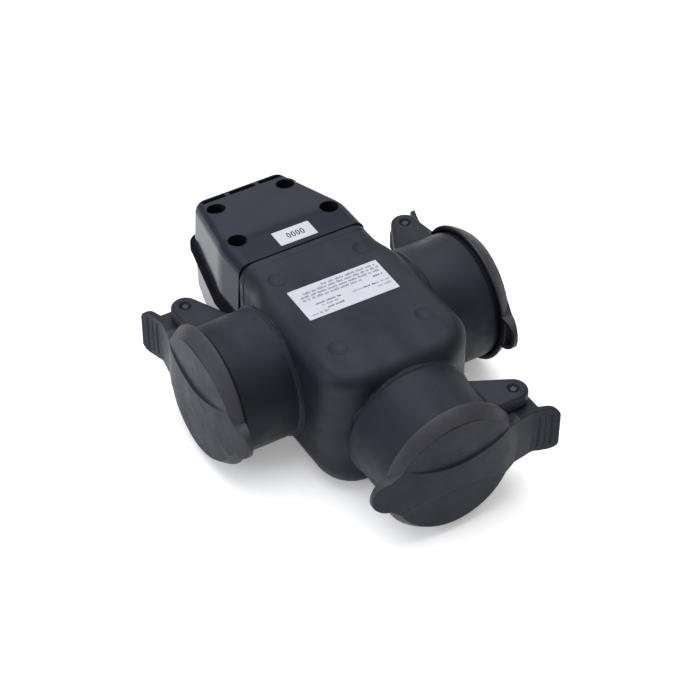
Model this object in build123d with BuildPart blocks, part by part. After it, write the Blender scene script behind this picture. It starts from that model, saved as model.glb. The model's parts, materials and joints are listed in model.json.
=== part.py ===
from build123d import *
from math import atan2, cos, degrees, hypot, radians, sin, sqrt, tan
import os

# Portable three-way socket block: a moulded rubber T with a hinged lid over each of its three
# sockets, and a plastic cable terminal box closing its rear mouth.
# Millimetres. +Z up, +Y towards the terminal box, +X to the right. z = 0 is the flat underside.
# x = 0 is the plane of symmetry and y = 0 is the common axis of the two side sockets.

os.makedirs("parts", exist_ok=True)

# ---- driving dimensions: rubber body --------------------------------------------------------
body_height = 62.0
axis_z = 31.0  # height of the three socket axes
mouth_y = 30.0  # rear mouth, where the terminal box starts
mouth_half_width = 30.0
waist_y = 20.0  # from here the flanks flare out
flank_start_y = 8.0
flank_half_width = 33.5
front_y = -53.5
corner_radius = 17.0  # front corners in plan
body_top_edge = 7.0
body_bottom_edge = 12.5
rubber_wall = 3.5
rubber_floor = 6.5
seam_rib_offset = 3.1  # the thin moulded line beside the mouth
seam_rib_width = 0.9
seam_rib_depth = 0.6

# ---- driving dimensions: one socket, measured outwards from its hinge pin -------------------
side_pin_x = 52.8
front_pin_y = -74.2
pin_offset = 34.5  # hinge pin to socket axis
collar_radius = 27.5
collar_mouth = 10.2
collar_lip_radius = 26.9
collar_lip_length = 4.0
bead_radius = 28.3
bead_width = 1.4
shroud_radius = 23.8
shroud_depth = 8.0
seat_radius = 23.5
insert_length = 22.0
ledge_radius = 20.5

ear_radius = 6.0
ear_thickness = 6.0
ear_edge = 1.4
ear_top = 17.6  # top of the upper ear above the socket axis
ear_root_u = -15.0
ear_root_v = 18.0
pin_radius = 1.5
pin_recess_radius = 2.4
pin_recess_depth = 0.9
running_gap = 0.05

# ---- driving dimensions: lid, measured outwards from its hinge pin --------------------------
lid_radius = 30.0
lid_inner_radius = 28.15
lid_skirt_start = 7.6
lid_plate_inside = 11.0
lid_face = 13.0
wing_crown = 2.6  # the raised band's middle stands this far out from its ends
cap_clear = 18.0
nose_back = 8.8  # inner edge of the nose at its tip
wing_waist = 6.3  # half-width of the band over the socket axis
wing_end = 12.2  # half-width of the band where it meets the rim
wing_end_v = 24.0
nose_tip = 36.8
nose_radius = 7.8
nose_wall = 1.7
neck_half_width = 10.6
neck_v = 35.0
tab_half_width = 11.3
tab_tip_v = 48.6
tab_corner = 4.5
tab_thickness = 2.3
groove_rows = (40.2, 42.7, 45.2)
groove_length = 16.5
knuckle_radius = 6.4
arm_half_width = 11.15
arm_far_v = 6.6  # beyond the pin, away from the socket axis

# ---- driving dimensions: terminal box -------------------------------------------------------
box_bend_y = 47.0  # the top and the plan both bend here
box_rear_y = 86.5
box_rear_half_width = 21.3
box_rear_top = 54.8
box_rear_bottom = 8.0
box_wall = 2.4
box_edge = 5.0
box_corner = 6.0  # rear corners in plan
box_side_bend = 30.0
box_top_bend = 40.0
parting_z = 34.0
joint_width = 0.7  # rebate that leaves a dark line between rubber and box
joint_depth = 1.0
foot_flare = 0.9  # the box is this much wider where its two shells meet
box_draft = 2.5
base_draft = 1.5
flange_thickness = 3.0
flange_overhang = 2.0
spigot_length = 9.0
spigot_gap = 0.2
screw_rows = ((21.9, 45.9), (16.8, 73.8))
screw_recess_radius = 4.15
screw_recess_floor = 38.0
post_radius = 4.5
gland_z = 20.4
gland_thread_radius = 8.0
gland_flats = 20.0
gland_seat_y = box_rear_y + 0.3  # the spot face in the rear wall
cable_radius = 4.6

# ---- driving dimensions: electrical parts ---------------------------------------------------
well_radius = 19.65
well_depth = 17.5
pin_spacing = 19.0
contact_radius = 3.6
contact_bore = 2.45
contact_length = 14.6
bar_width = 8.0
bar_thickness = 1.0
chassis_screws_xy = ((20.0, 15.8), (20.0, -31.8))

# ---- worked-out places ----------------------------------------------------------------------
socket_face = collar_mouth - shroud_depth
insert_back = socket_face - insert_length
cavity_half_width = flank_half_width - rubber_wall
cavity_mouth_half_width = mouth_half_width - rubber_wall
cavity_front_y = front_y + rubber_wall
cavity_top = body_height - rubber_wall
box_slope = degrees(atan2(body_height - box_rear_top, box_rear_y - box_bend_y))

# Each socket has two working planes with their origin level with its hinge pin, on the socket
# axis. "face" looks outwards along the socket axis with its x towards the hinge. "plan" lies
# flat with its x outwards and its y towards the hinge.
sockets = {
    "left": {
        "face": Plane(origin=(-side_pin_x, 0, axis_z), x_dir=(0, 1, 0), z_dir=(-1, 0, 0)),
        "plan": Plane(origin=(-side_pin_x, 0, axis_z), x_dir=(-1, 0, 0), z_dir=(0, 0, -1)),
        "root": -side_pin_x + flank_half_width,
    },
    "right": {
        "face": Plane(origin=(side_pin_x, 0, axis_z), x_dir=(0, 1, 0), z_dir=(1, 0, 0)),
        "plan": Plane(origin=(side_pin_x, 0, axis_z), x_dir=(1, 0, 0), z_dir=(0, 0, 1)),
        "root": -side_pin_x + flank_half_width,
    },
    "front": {
        "face": Plane(origin=(0, front_pin_y, axis_z), x_dir=(1, 0, 0), z_dir=(0, -1, 0)),
        "plan": Plane(origin=(0, front_pin_y, axis_z), x_dir=(0, -1, 0), z_dir=(0, 0, 1)),
        "root": front_pin_y - front_y,
    },
}


def write(piece, label):
    piece.part.label = label
    export_step(piece.part, f"parts/{label}.step")


def mirrored(points):
    """Half an outline from its rear right point to its front, closed across x = 0."""
    return points + [(-x, y) for x, y in reversed(points)]


# ---- rubber body ----------------------------------------------------------------------------
body_outline = mirrored([
    (mouth_half_width, mouth_y),
    (mouth_half_width, waist_y),
    (flank_half_width, flank_start_y),
    (flank_half_width, front_y),
])
cavity_outline = mirrored([
    (cavity_mouth_half_width, mouth_y),
    (cavity_mouth_half_width, waist_y),
    (cavity_half_width, flank_start_y),
    (cavity_half_width, cavity_front_y),
])
# where the straight inner edge of an ear leaves its rounded end
ear_lean = atan2(ear_root_v - pin_offset, ear_root_u)
ear_reach = hypot(ear_root_u, ear_root_v - pin_offset)
ear_tangent = ear_lean - atan2(sqrt(ear_reach**2 - ear_radius**2), ear_radius)
ear_edge_point = (ear_radius * cos(ear_tangent), pin_offset + ear_radius * sin(ear_tangent))

with BuildPart() as rubber_body:
    with BuildSketch(Plane.XY):
        with BuildLine():
            Polyline(*body_outline, close=True)
        make_face()
    extrude(amount=body_height)
    front_corners = rubber_body.edges().filter_by(Axis.Z).group_by(Axis.Y)[0]
    fillet(front_corners, corner_radius)
    flank_edges = rubber_body.edges().filter_by(Axis.Z).filter_by_position(Axis.Y, 5, 25)
    fillet(flank_edges, 15)
    for rim, radius in ((Axis.Z, body_top_edge), (-Axis.Z, body_bottom_edge)):
        rim_edges = rubber_body.faces().sort_by(rim)[-1].edges()
        fillet(rim_edges.filter_by_position(Axis.Y, front_y - 1, mouth_y - 0.1), radius)

    for socket in sockets.values():
        with BuildSketch(socket["face"].offset(socket["root"] - 1)):
            Circle(collar_radius)
        extrude(amount=collar_mouth - collar_lip_length - socket["root"] + 1)
        with BuildSketch(socket["face"].offset(collar_mouth - collar_lip_length)):
            Circle(collar_lip_radius)
        extrude(amount=collar_lip_length)
        with BuildSketch(socket["plan"]):
            with Locations((socket["root"] + bead_width / 2, collar_radius - 0.4)):
                Ellipse(bead_width / 2, bead_radius - collar_radius + 0.4)
        revolve(axis=Axis(socket["face"].origin, socket["face"].z_dir))
        for side in (1, -1):
            ear_plane = socket["plan"].offset(side * (ear_top - ear_thickness / 2))
            with BuildSketch(ear_plane):
                with BuildLine():
                    Line((ear_radius, ear_root_v), (ear_radius, pin_offset))
                    ThreePointArc(
                        (ear_radius, pin_offset),
                        (ear_radius * cos(1.2), pin_offset + ear_radius * sin(1.2)),
                        ear_edge_point,
                    )
                    Line(ear_edge_point, (ear_root_u, ear_root_v))
                    Line((ear_root_u, ear_root_v), (ear_radius, ear_root_v))
                make_face()
            extrude(amount=ear_thickness / 2, both=True)
            outer_face = rubber_body.faces().filter_by(Axis.Z).sort_by_distance(
                (ear_plane * Pos(0, pin_offset, side * ear_thickness / 2)).position
            )[0]
            reach = Axis(ear_plane.origin, ear_plane.y_dir)
            fillet(outer_face.edges().sort_by(reach)[-3:], ear_edge)

    with BuildSketch(Plane.XY.offset(rubber_floor)) as cavity:
        with BuildLine():
            Polyline(*cavity_outline, close=True)
        make_face()
        fillet(cavity.vertices().group_by(Axis.Y)[0], corner_radius - rubber_wall)
    extrude(amount=cavity_top - rubber_floor, mode=Mode.SUBTRACT)

    for socket in sockets.values():
        with BuildSketch(socket["face"].offset(insert_back)):
            Circle(seat_radius)
        extrude(amount=insert_length, mode=Mode.SUBTRACT)
        with BuildSketch(socket["face"].offset(socket_face)):
            Circle(shroud_radius)
        extrude(amount=shroud_depth, mode=Mode.SUBTRACT)
        with BuildSketch(socket["face"].offset(insert_back)):
            Circle(ledge_radius)
        extrude(amount=-2 * rubber_wall, mode=Mode.SUBTRACT)
        with BuildSketch(socket["plan"]):
            with Locations((0, pin_offset)):
                Circle(pin_radius)
        extrude(amount=2 * ear_top, both=True, mode=Mode.SUBTRACT)
        for side in (1, -1):
            with BuildSketch(socket["plan"].offset(side * ear_top)):
                with Locations((0, pin_offset)):
                    Circle(pin_recess_radius)
            extrude(amount=-side * pin_recess_depth, mode=Mode.SUBTRACT)

    dimple_radius = 4.4
    dimple_depth = 1.1
    dimple_ball = (dimple_radius**2 + dimple_depth**2) / (2 * dimple_depth)
    for x, y in chassis_screws_xy:
        with Locations(
            (x, y, body_height + dimple_ball - dimple_depth),
            (-x, y, body_height + dimple_ball - dimple_depth),
        ):
            Sphere(dimple_ball, mode=Mode.SUBTRACT)

    with BuildSketch(Plane.XZ.offset(-(mouth_y - seam_rib_offset))):
        with Locations((0, body_height / 2)):
            RectangleRounded(2 * mouth_half_width + 1, body_height + 1, body_top_edge)
            RectangleRounded(
                2 * (mouth_half_width - seam_rib_depth),
                body_height - 2 * seam_rib_depth,
                body_top_edge - seam_rib_depth,
                mode=Mode.SUBTRACT,
            )
    extrude(amount=seam_rib_width, mode=Mode.SUBTRACT)

write(rubber_body, "rubber_body")

# ---- lids, their seals, hinge pins and closing springs --------------------------------------
# outer face of the raised band from the nose tip to the thumb tab, in (outwards, towards hinge)
band_outer = [
    (10.6, -nose_tip),
    (12.3, -30.0),
    (lid_face + 0.3, -wing_end_v),
    (lid_face + wing_crown * 0.8, -11.0),
    (lid_face + wing_crown, 0.0),
    (lid_face + wing_crown * 0.8, 11.0),
    (lid_face + 0.3, wing_end_v),
    (11.1, 30.0),
    (10.0, neck_v),
    (10.5, 40.0),
    (12.0, 45.0),
    (13.9, tab_tip_v),
]
# the cap's own face, arched the same way and almost flush with the band at both ends
cap_outer = [
    (12.1, -30.0),
    (13.1, -wing_end_v),
    (14.15, -11.0),
    (14.5, 0.0),
    (14.15, 11.0),
    (13.0, wing_end_v),
    (11.0, 30.0),
]
# side of the cap from its arched face to its skirt, in (outwards, radius)
cap_side = [
    (15.4, 25.0),
    (14.3, 26.1),
    (12.8, 27.35),
    (11.0, 28.65),
    (lid_skirt_start + 1.2, lid_radius - 0.15),
]
tab_inner = [
    (13.9 - tab_thickness, tab_tip_v),
    (12.0 - tab_thickness, 44.6),
    (10.5 - tab_thickness, 40.0),
    (lid_skirt_start, neck_v),
    (lid_skirt_start, 29.0),
]
spring_wire = 0.5
spring_coil = 2.5
spring_turns = 6
spring_height = 8.0


def groove_floor(v):
    """Outward position of the tab's outer face at v, between the points of its outline."""
    for (u0, v0), (u1, v1) in zip(band_outer, band_outer[1:]):
        if v0 <= v <= v1:
            return u0 + (u1 - u0) * (v - v0) / (v1 - v0)


for name, socket in sockets.items():
    face, plan = socket["face"], socket["plan"]
    with BuildPart() as cap:
        with BuildSketch(plan):
            with BuildLine():
                Spline(*cap_side)
                Polyline(
                    cap_side[-1],
                    (lid_skirt_start + 0.4, lid_radius),
                    (lid_skirt_start, lid_radius - 0.4),
                    (lid_skirt_start, lid_inner_radius),
                    (lid_plate_inside, lid_inner_radius - 0.3),
                    (lid_plate_inside, 0),
                    (cap_side[0][0], 0),
                    cap_side[0],
                )
            make_face()
        revolve(axis=Axis(face.origin, face.z_dir))
        with BuildSketch(plan):
            with BuildLine():
                Spline(*cap_outer)
                Polyline(cap_outer[-1], (cap_clear, 31), (cap_clear, -31), cap_outer[0])
            make_face()
        extrude(amount=lid_radius, both=True, mode=Mode.SUBTRACT)

    with BuildPart() as lid:
        # the raised band: its thickness profile, trimmed to its outline
        with BuildSketch(plan):
            with BuildLine():
                Spline(*band_outer)
                Line(band_outer[-1], tab_inner[0])
                Spline(*tab_inner[:4])
                Line(tab_inner[3], tab_inner[4])
                Line(tab_inner[4], (lid_plate_inside, 27.0))
                Line((lid_plate_inside, 27.0), (lid_plate_inside, -27.0))
                Line((lid_plate_inside, -27.0), (lid_skirt_start, -28.5))
                Line((lid_skirt_start, -28.5), (lid_skirt_start, -30.0))
                Line((lid_skirt_start, -30.0), (nose_back, -nose_tip))
                Line((nose_back, -nose_tip), band_outer[0])
            make_face()
        extrude(amount=wing_end + 2, both=True)
        with BuildSketch(face):
            with BuildLine():
                for side in (1, -1):
                    ThreePointArc(
                        (-wing_end_v, side * wing_end),
                        (0, side * wing_waist),
                        (wing_end_v, side * wing_end),
                    )
                    Line((wing_end_v, side * wing_end), (neck_v - 4, side * neck_half_width))
                    ThreePointArc(
                        (neck_v - 4, side * neck_half_width),
                        (neck_v + 1, side * (neck_half_width - 0.1)),
                        (neck_v + 6, side * tab_half_width),
                    )
                    Line((neck_v + 6, side * tab_half_width), (tab_tip_v + 1, side * tab_half_width))
                    Line((-wing_end_v, side * wing_end), (nose_radius - nose_tip, side * nose_radius))
                ThreePointArc(
                    (nose_radius - nose_tip, nose_radius),
                    (-nose_tip, 0),
                    (nose_radius - nose_tip, -nose_radius),
                )
                Line((tab_tip_v + 1, tab_half_width), (tab_tip_v + 1, -tab_half_width))
            make_face()
        extrude(amount=lid_face + wing_crown + 4, mode=Mode.INTERSECT)
        tip = (face * Pos(tab_tip_v, 0, 13.0)).position
        corners = [
            e for e in lid.edges()
            if (e.center() - tip).length < 13 and 1 < e.length < 3.5
        ]
        fillet(corners, tab_corner)

        add(cap.part)

        # the hinge arm between the two ears
        with BuildSketch(plan):
            with Locations((0, pin_offset)):
                Circle(knuckle_radius)
            with BuildLine():
                Polyline(
                    (0, pin_offset - knuckle_radius),
                    (lid_plate_inside + 0.5, pin_offset - knuckle_radius),
                    (lid_plate_inside - 1.5, pin_offset + arm_far_v),
                    (1, pin_offset + arm_far_v),
                    (0, pin_offset + knuckle_radius),
                    close=True,
                )
            make_face()
        extrude(amount=arm_half_width, both=True)

        # clear the collar, the space for the spring, the pin and the pocket behind the nose
        with BuildSketch(face.offset(-knuckle_radius - 1)):
            Circle(lid_inner_radius)
        extrude(amount=knuckle_radius + 1 + lid_skirt_start + 0.3, mode=Mode.SUBTRACT)
        with BuildSketch(face.offset(lid_skirt_start)):
            Circle(lid_inner_radius - 0.3)
        extrude(amount=lid_plate_inside - lid_skirt_start, mode=Mode.SUBTRACT)
        with BuildSketch(plan):
            with Locations((-1.5, pin_offset)):
                Rectangle(13, 2 * knuckle_radius + 2)
        extrude(amount=spring_height / 2 + 0.6, both=True, mode=Mode.SUBTRACT)
        with BuildSketch(plan):
            with Locations((0, pin_offset)):
                Circle(pin_radius + running_gap)
        extrude(amount=arm_half_width + 1, both=True, mode=Mode.SUBTRACT)
        with BuildSketch(face.offset(lid_skirt_start - 1)):
            with Locations((nose_radius - nose_tip, 0)):
                Circle(nose_radius - nose_wall)
            Circle(lid_radius + 1.2, mode=Mode.SUBTRACT)
        extrude(amount=3.2, mode=Mode.SUBTRACT)

        # three grip grooves across the thumb tab
        for v in groove_rows:
            with BuildSketch(plan):
                with Locations((groove_floor(v) + 0.1, v)):
                    Circle(0.55)
            extrude(amount=groove_length / 2, both=True, mode=Mode.SUBTRACT)
    write(lid, f"{name}_lid")

    with BuildPart() as lid_seal:
        with BuildSketch(face.offset(lid_plate_inside)):
            Circle(26.4)
            Circle(23.9, mode=Mode.SUBTRACT)
        extrude(amount=-0.5)
        free_edges = lid_seal.faces().sort_by(Axis(face.origin, face.z_dir))[0].edges()
        fillet(free_edges, 0.2)
    write(lid_seal, f"{name}_lid_seal")

    with BuildPart() as hinge_pin:
        with BuildSketch(plan):
            with Locations((0, pin_offset)):
                Circle(pin_radius)
        extrude(amount=ear_top - 0.4, both=True)
        chamfer(hinge_pin.edges().group_by(Axis.Z)[-1], 0.3)
        chamfer(hinge_pin.edges().group_by(Axis.Z)[0], 0.3)
    write(hinge_pin, f"{name}_hinge_pin")

    with BuildPart() as lid_spring:
        foot = (plan * Pos(0, pin_offset, -spring_height / 2 + spring_wire)).position
        with BuildLine():
            Helix(
                pitch=(spring_height - 2 * spring_wire) / spring_turns,
                height=spring_height - 2 * spring_wire,
                radius=spring_coil,
                center=(foot.X, foot.Y, axis_z - spring_height / 2 + spring_wire),
            )
        with BuildSketch(
            Plane(
                origin=(foot.X + spring_coil, foot.Y, axis_z - spring_height / 2 + spring_wire),
                z_dir=(0, 1, 0),
            )
        ):
            Circle(spring_wire)
        sweep()
    write(lid_spring, f"{name}_lid_spring")

# ---- socket inserts, contacts and earth clips -----------------------------------------------
clip_width = 4.6
clip_outer = 18.9
clip_thickness = 1.2
slot_margin = 0.25

for name, socket in sockets.items():
    face, plan = socket["face"], socket["plan"]
    well_floor = socket_face - well_depth
    with BuildPart() as insert:
        with BuildSketch(face.offset(insert_back)):
            Circle(seat_radius - 0.15)
        extrude(amount=insert_length)
        chamfer(insert.faces().sort_by(Axis(face.origin, face.z_dir))[-1].edges(), 0.6)
        with BuildSketch(face.offset(well_floor)):
            Circle(well_radius)
            with Locations((0, well_radius), (0, -well_radius)):
                Rectangle(5.2, 5.0, mode=Mode.SUBTRACT)
        extrude(amount=well_depth, mode=Mode.SUBTRACT)
        with BuildSketch(face.offset(insert_back)):
            with Locations((0, pin_spacing / 2), (0, -pin_spacing / 2)):
                Circle(contact_bore + 0.4)
            with Locations((clip_outer - clip_thickness / 2, 0), (-clip_outer + clip_thickness / 2, 0)):
                Rectangle(clip_thickness + 2 * slot_margin, clip_width + 2 * slot_margin)
        extrude(amount=insert_length - well_depth, mode=Mode.SUBTRACT)
    write(insert, f"{name}_socket_insert")

    with BuildPart() as contacts:
        with BuildSketch(face.offset(insert_back - 0.1)):
            with Locations((0, pin_spacing / 2), (0, -pin_spacing / 2)):
                Circle(contact_radius)
                Circle(contact_bore, mode=Mode.SUBTRACT)
        extrude(amount=-contact_length)
        with BuildSketch(plan.offset(-20)):
            with Locations((insert_back - 0.1 - contact_length / 3, 0)):
                Rectangle(2 * contact_length / 3 + 1, 0.7)
        extrude(amount=40, mode=Mode.SUBTRACT)
    write(contacts, f"{name}_contacts")

    with BuildPart() as earth_clip:
        bow = 1.4  # the sprung part of each arm leans in to meet the plug's earth strip
        with BuildSketch(plan):
            with BuildLine():
                Polyline(
                    (insert_back - 0.1, 0),
                    (insert_back - 0.1, clip_outer - clip_thickness),
                    (well_floor + 3, clip_outer - clip_thickness),
                    (well_floor + 9, clip_outer - clip_thickness - bow),
                    (well_floor + 15, clip_outer - clip_thickness),
                    (well_floor + 15, clip_outer),
                    (well_floor + 9, clip_outer - bow),
                    (well_floor + 3, clip_outer),
                    (insert_back - 0.1 - clip_thickness, clip_outer),
                    (insert_back - 0.1 - clip_thickness, 0),
                    close=True,
                )
            make_face()
        extrude(amount=clip_width / 2, both=True)
        mirror(about=Plane(origin=face.origin, z_dir=face.x_dir))
    write(earth_clip, f"{name}_earth_clip")

# ---- busbars --------------------------------------------------------------------------------
contact_end_x = side_pin_x + insert_back - 0.1 - contact_length
contact_end_y = front_pin_y - insert_back + 0.1 + contact_length
clip_end_x = side_pin_x + insert_back - 0.1 - clip_thickness
clip_end_y = front_pin_y - insert_back + 0.1 + clip_thickness
terminal_front_y = 50.0
pole_pitch = 9.4
busbars = {
    "live_busbar": (axis_z + pin_spacing / 2, -pole_pitch, contact_end_x, contact_end_y),
    "earth_busbar": (axis_z, 0.0, clip_end_x, clip_end_y),
    "neutral_busbar": (axis_z - pin_spacing / 2, pole_pitch, contact_end_x, contact_end_y),
}
for label, (level, jog, reach_x, reach_y) in busbars.items():
    with BuildPart() as busbar:
        with BuildSketch(Plane.XY.offset(level - bar_thickness / 2)):
            with BuildLine():
                Polyline(
                    (-bar_width / 2, reach_y),
                    (bar_width / 2, reach_y),
                    (bar_width / 2, -bar_width / 2),
                    (reach_x, -bar_width / 2),
                    (reach_x, bar_width / 2),
                    (bar_width / 2, bar_width / 2),
                    (bar_width / 2, 26),
                    (bar_width / 2 + jog - 1, 40),
                    (bar_width / 2 + jog - 1, terminal_front_y + 2),
                    (-bar_width / 2 + jog + 1, terminal_front_y + 2),
                    (-bar_width / 2 + jog + 1, 40),
                    (-bar_width / 2, 26),
                    (-bar_width / 2, bar_width / 2),
                    (-reach_x, bar_width / 2),
                    (-reach_x, -bar_width / 2),
                    (-bar_width / 2, -bar_width / 2),
                    close=True,
                )
            make_face()
        extrude(amount=bar_thickness)
    write(busbar, label)

# ---- chassis that carries the busbars inside the rubber body --------------------------------
chassis_half_width = 25.0
chassis_front = -38.0
chassis_rear = 20.5
chassis_floor = rubber_floor + 0.5
chassis_top = 50.0
holder_rows = (11.0, -15.0)

with BuildPart() as chassis_base:
    with BuildSketch(Plane.XY.offset(chassis_floor)):
        with Locations((0, (chassis_front + chassis_rear) / 2)):
            RectangleRounded(2 * chassis_half_width, chassis_rear - chassis_front, 4)
    extrude(amount=3)
    with BuildSketch(Plane.XY.offset(chassis_floor)):
        for x, y in chassis_screws_xy:
            with Locations((x, y), (-x, y)):
                Circle(4.2)
        with Locations((0, holder_rows[0]), (0, holder_rows[1])):
            Rectangle(14, 6)
    extrude(amount=chassis_top - chassis_floor)
    with BuildSketch(Plane.XY.offset(chassis_top)):
        for x, y in chassis_screws_xy:
            with Locations((x, y), (-x, y)):
                Circle(1.4)
    extrude(amount=-20, mode=Mode.SUBTRACT)
    for level, jog, reach_x, reach_y in busbars.values():
        with BuildSketch(Plane.XY.offset(level)):
            with Locations((1.5, holder_rows[0]), (1.5, holder_rows[1])):
                Rectangle(bar_width + 3.4, 7)
        extrude(amount=bar_thickness / 2 + 0.1, both=True, mode=Mode.SUBTRACT)
write(chassis_base, "chassis_base")

with BuildPart() as chassis_cover:
    with BuildSketch(Plane.XY.offset(chassis_top)):
        with Locations((0, (chassis_front + chassis_rear) / 2)):
            RectangleRounded(2 * chassis_half_width, chassis_rear - chassis_front, 4)
        for x, y in chassis_screws_xy:
            with Locations((x, y), (-x, y)):
                Circle(1.9, mode=Mode.SUBTRACT)
    extrude(amount=2.6)
write(chassis_cover, "chassis_cover")

with BuildPart() as chassis_screws:
    for x, y in chassis_screws_xy:
        with Locations((x, y, chassis_top + 2.6), (-x, y, chassis_top + 2.6)):
            Cylinder(3.2, 2.2, align=(Align.CENTER, Align.CENTER, Align.MIN))
            Cylinder(1.4, 18, align=(Align.CENTER, Align.CENTER, Align.MAX))
            with Locations((0, 0, 1.2)):
                Box(4.4, 0.8, 1.2, align=(Align.CENTER, Align.CENTER, Align.MIN), mode=Mode.SUBTRACT)
                Box(0.8, 4.4, 1.2, align=(Align.CENTER, Align.CENTER, Align.MIN), mode=Mode.SUBTRACT)
write(chassis_screws, "chassis_screws")

# ---- terminal box: cover, base, gasket and screws -------------------------------------------
slope_fall = tan(radians(box_slope))
side_lean = atan2(mouth_half_width - box_rear_half_width, box_rear_y - box_bend_y)


def box_outline(inset, front):
    """Plan of the terminal box, moved inwards by inset, starting at y = front."""
    shift = inset / cos(side_lean)
    bend = mouth_half_width - inset
    bend_y = box_bend_y - (shift - inset) / tan(side_lean)
    rear = box_rear_half_width - shift + inset * tan(side_lean)
    return mirrored([(bend, front), (bend, bend_y), (rear, box_rear_y - inset)])


def upright_edges(part, low_y, high_y):
    """The steep edges of part that stand between two distances from the socket axes."""
    steep = part.edges().filter_by(lambda e: abs(e.tangent_at(0.5).Z) > 0.9)
    return steep.filter_by_position(Axis.Y, low_y, high_y)


def top_seam(edge):
    """True for the two tangent lines that cross the top where it bends."""
    return abs(edge.center().X) < 1 and edge.center().Y < box_rear_y - 10


with BuildPart() as box_shape:
    with BuildSketch(Plane.XY.offset(parting_z)) as foot:
        with BuildLine():
            Polyline(*box_outline(-foot_flare, mouth_y - box_wall), close=True)
        make_face()
        fillet(foot.vertices().group_by(Axis.Y)[-1], box_corner + foot_flare)
        fillet(foot.vertices().filter_by_position(Axis.Y, box_bend_y - 1, box_bend_y + 1), box_side_bend)
    extrude(amount=body_height - parting_z, taper=box_draft)
    with BuildSketch(Plane.XY):
        with Locations((0, mouth_y - 10)):
            Rectangle(100, 20)
    extrude(amount=body_height + 1, mode=Mode.SUBTRACT)
    with BuildSketch(Plane.YZ):
        with BuildLine():
            roof = FilletPolyline(
                (mouth_y - 5, body_height),
                (box_bend_y, body_height),
                (box_rear_y + 10, body_height - (box_rear_y + 10 - box_bend_y) * slope_fall),
                radius=box_top_bend,
            )
            Polyline(roof @ 1, (box_rear_y + 10, body_height + 5), (mouth_y - 5, body_height + 5), roof @ 0)
        make_face()
    extrude(amount=50, both=True, mode=Mode.SUBTRACT)
    rim = box_shape.edges().filter_by_position(Axis.Z, box_rear_top - 1, body_height + 0.1)
    rim = rim.filter_by_position(Axis.Y, mouth_y + 0.5, box_rear_y + 1)
    fillet(rim.filter_by(lambda e: abs(e.tangent_at(0.5).Z) < 0.5 and not top_seam(e)), box_edge)

with BuildPart() as box_space:
    with BuildSketch(Plane.XY.offset(parting_z - 40)):
        with BuildLine():
            Polyline(*box_outline(box_wall, mouth_y + box_wall), close=True)
        make_face()
    extrude(amount=40 + body_height - parting_z - box_wall)
    fillet(upright_edges(box_space, box_rear_y - 5, box_rear_y), 3)
    with BuildSketch(Plane.YZ):
        with BuildLine():
            Polyline(
                (box_bend_y, body_height - box_wall),
                (box_rear_y + 10, body_height - box_wall - (box_rear_y + 10 - box_bend_y) * slope_fall),
                (box_rear_y + 10, body_height + 5),
                (box_bend_y, body_height + 5),
                close=True,
            )
        make_face()
    extrude(amount=50, both=True, mode=Mode.SUBTRACT)

spigot_half_width = cavity_mouth_half_width - spigot_gap
spigot_bottom = rubber_floor + spigot_gap
spigot_top = cavity_top - spigot_gap
tower_radius = screw_recess_radius + 1.5
slot_y = box_rear_y - 4.6
slot_width = 3.0
slots = ((0, 12.5), (13.6, 11), (-13.6, 11))  # (x, length)
slot_floor = box_rear_top - 4.5
slot_bar_floor = 1.5
slot_bar_height = 4.4
slot_bar_length = 37.2
slot_bar_width = 5.4

with BuildPart() as joint_line:
    with BuildSketch(Plane.XZ.offset(-mouth_y)):
        with Locations((0, body_height / 2)):
            Rectangle(3 * mouth_half_width, 2 * body_height)
            RectangleRounded(
                2 * (mouth_half_width - joint_depth),
                body_height - 2 * joint_depth,
                body_top_edge - joint_depth,
                mode=Mode.SUBTRACT,
            )
    extrude(amount=-joint_width)

with BuildPart() as terminal_cover:
    add(box_shape.part)
    add(box_space.part, mode=Mode.SUBTRACT)
    with BuildSketch(Plane.XZ.offset(-mouth_y - box_wall)):
        with Locations((0, (parting_z + spigot_top) / 2)):
            Rectangle(2 * spigot_half_width, spigot_top - parting_z)
    extrude(amount=spigot_length + box_wall)
    with BuildSketch(Plane.XZ.offset(-mouth_y - 2 * box_wall)):
        with Locations((0, (parting_z + spigot_top - box_wall) / 2)):
            Rectangle(2 * (spigot_half_width - box_wall), spigot_top - box_wall - parting_z)
    extrude(amount=spigot_length + 4 * box_wall, mode=Mode.SUBTRACT)
    for (x, y), tower_top in zip(screw_rows, (body_height - 1, body_height - 6)):
        with BuildSketch(Plane.XY.offset(parting_z)):
            with Locations((x, y), (-x, y)):
                Circle(tower_radius)
        extrude(amount=tower_top - parting_z)
        with BuildSketch(Plane.XY.offset(screw_recess_floor)):
            with Locations((x, y), (-x, y)):
                Circle(screw_recess_radius)
        extrude(amount=body_height, mode=Mode.SUBTRACT)
        with BuildSketch(Plane.XY.offset(parting_z)):
            with Locations((x, y), (-x, y)):
                Circle(2.1)
        extrude(amount=body_height, mode=Mode.SUBTRACT)
    # three blind slots along the rear top edge, sunk in a thick bar under the roof
    with BuildSketch(Plane.XY.offset(slot_floor - slot_bar_floor)):
        with Locations((0, slot_y)):
            Rectangle(slot_bar_length, slot_bar_width)
    extrude(amount=slot_bar_height)
    with BuildSketch(Plane.XY.offset(slot_floor)):
        for x, length in slots:
            with Locations((x, slot_y)):
                RectangleRounded(length, slot_width, 0.5)
    extrude(amount=body_height, mode=Mode.SUBTRACT)
    add(joint_line.part, mode=Mode.SUBTRACT)
write(terminal_cover, "terminal_cover")

base_slope_fall = box_rear_bottom / (box_rear_y - box_bend_y)
gasket_inner = 1.4
gasket_outer = 0.0
gasket_depth = 1.0
clamp_y = 72.5
clamp_post_x = 8.6

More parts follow.
